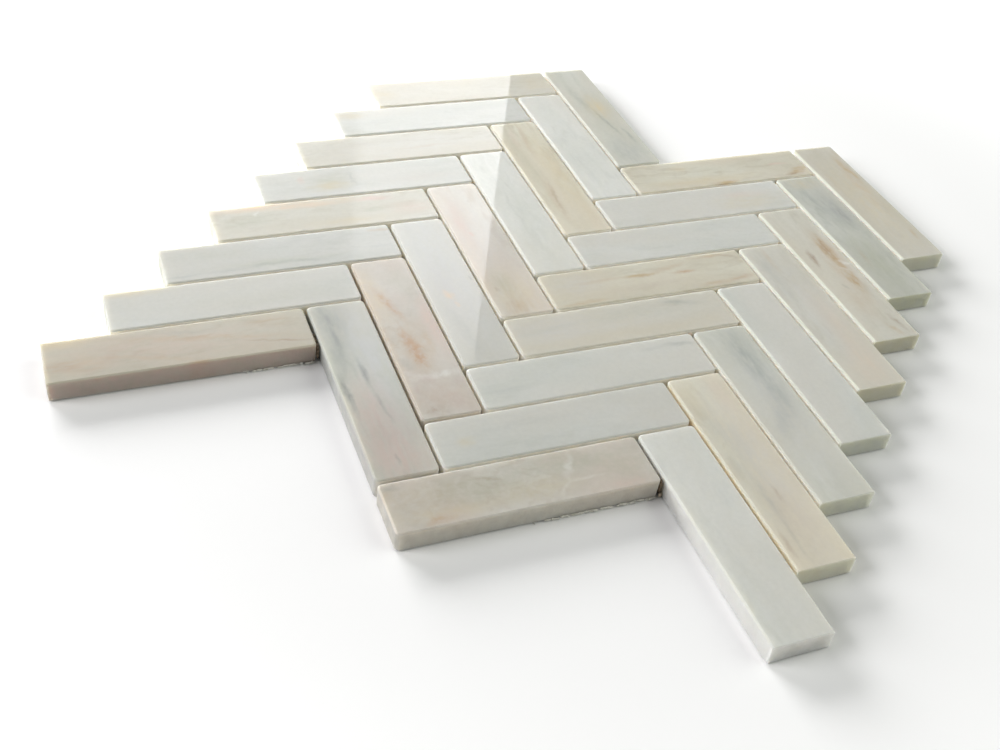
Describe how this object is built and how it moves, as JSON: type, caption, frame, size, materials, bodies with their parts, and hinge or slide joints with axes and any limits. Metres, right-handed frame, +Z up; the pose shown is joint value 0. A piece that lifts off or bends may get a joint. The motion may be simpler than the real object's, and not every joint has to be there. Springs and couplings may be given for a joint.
{
  "type": "herringbone mosaic tile",
  "caption": "Mosaic sheet of polished marble strips laid herringbone with open joints on a mesh backing; its V and stepped edges interlock with the next sheets.",
  "frame": {"origin": "middle of the sheet's bounding box, on the underside of the mesh, where it meets the bed", "axes": "+X along the crosswise strips, to the right; +Y along the lengthwise strips, away from the viewer; +Z up out of the polished face"},
  "size_m": [0.429, 0.402, 0.0093],
  "materials": {
    "white_marble": "polished",
    "cream_marble": "polished",
    "beige_marble": "polished",
    "rose_marble": "polished",
    "grey_marble": "polished",
    "mesh": "open weave with dried glue"
  },
  "bodies": {
    "root": {"crosswise_strip_left_1": "beige_marble", "crosswise_strip_left_2": "white_marble", "crosswise_strip_left_3": "white_marble", "crosswise_strip_left_4": "cream_marble", "crosswise_strip_left_5": "white_marble", "crosswise_strip_left_6": "cream_marble", "crosswise_strip_left_7": "white_marble", "crosswise_strip_left_8": "cream_marble", "crosswise_strip_right_1": "rose_marble", "crosswise_strip_right_2": "white_marble", "crosswise_strip_right_3": "white_marble", "crosswise_strip_right_4": "cream_marble", "crosswise_strip_right_5": "beige_marble", "crosswise_strip_right_6": "white_marble", "crosswise_strip_right_7": "white_marble", "crosswise_strip_right_8": "beige_marble", "lengthwise_strip_left_1": "grey_marble", "lengthwise_strip_left_2": "rose_marble", "lengthwise_strip_left_3": "white_marble", "lengthwise_strip_left_4": "rose_marble", "lengthwise_strip_left_5": "white_marble", "lengthwise_strip_left_6": "beige_marble", "lengthwise_strip_left_7": "white_marble", "lengthwise_strip_left_8": "grey_marble", "lengthwise_strip_right_1": "white_marble", "lengthwise_strip_right_2": "beige_marble", "lengthwise_strip_right_3": "grey_marble", "lengthwise_strip_right_4": "white_marble", "lengthwise_strip_right_5": "cream_marble", "lengthwise_strip_right_6": "cream_marble", "lengthwise_strip_right_7": "grey_marble", "lengthwise_strip_right_8": "cream_marble", "mesh_backing": "mesh"}
  },
  "joints": []
}
